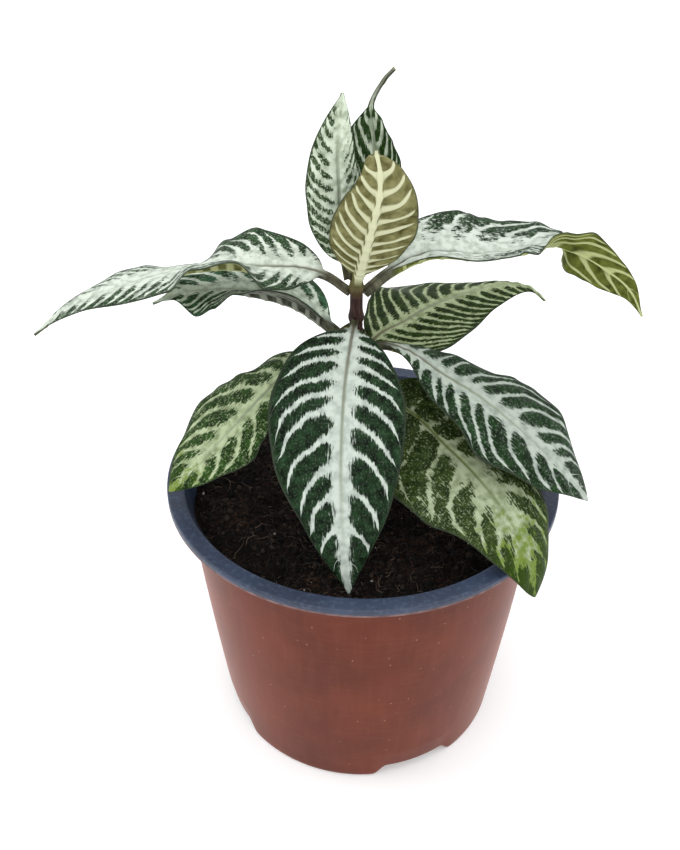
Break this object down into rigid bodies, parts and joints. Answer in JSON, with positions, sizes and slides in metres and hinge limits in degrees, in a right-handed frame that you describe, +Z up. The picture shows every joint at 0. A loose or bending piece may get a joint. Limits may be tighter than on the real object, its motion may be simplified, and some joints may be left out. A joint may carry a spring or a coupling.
{
  "type": "potted zebra plant",
  "caption": "House plant with dark green, white-veined leaves on an upright stem, growing in a round tapered nursery pot with a flanged rim.",
  "frame": {"origin": "on the pot's axis, on the flat middle of its base, which stands on the table", "axes": "+Z up the stem; -Y towards the front, where the widest leaf hangs; +X to the right seen from the front"},
  "size_m": [0.182, 0.13, 0.2308],
  "materials": {
    "pot_plastic": "satin terracotta thermoformed sheet with a dark slate-blue inner layer that shows on the flange",
    "potting_soil": "moist, rough, fibrous",
    "stem_skin": "satin maroon-brown bark",
    "leaf": "waxy deep green with white feathered veins"
  },
  "bodies": {
    "root": {"pot": "pot_plastic", "soil": "potting_soil", "stem": "stem_skin", "leaf_front": "leaf", "leaf_rear": "leaf", "leaf_right_high": "leaf", "leaf_left_high": "leaf", "leaf_left_middle": "leaf", "leaf_right_middle": "leaf", "leaf_right_rear": "leaf", "leaf_left_low": "leaf", "leaf_right_low": "leaf", "leaf_top_left": "leaf", "leaf_top_front": "leaf", "leaf_top_rear": "leaf"}
  },
  "joints": []
}
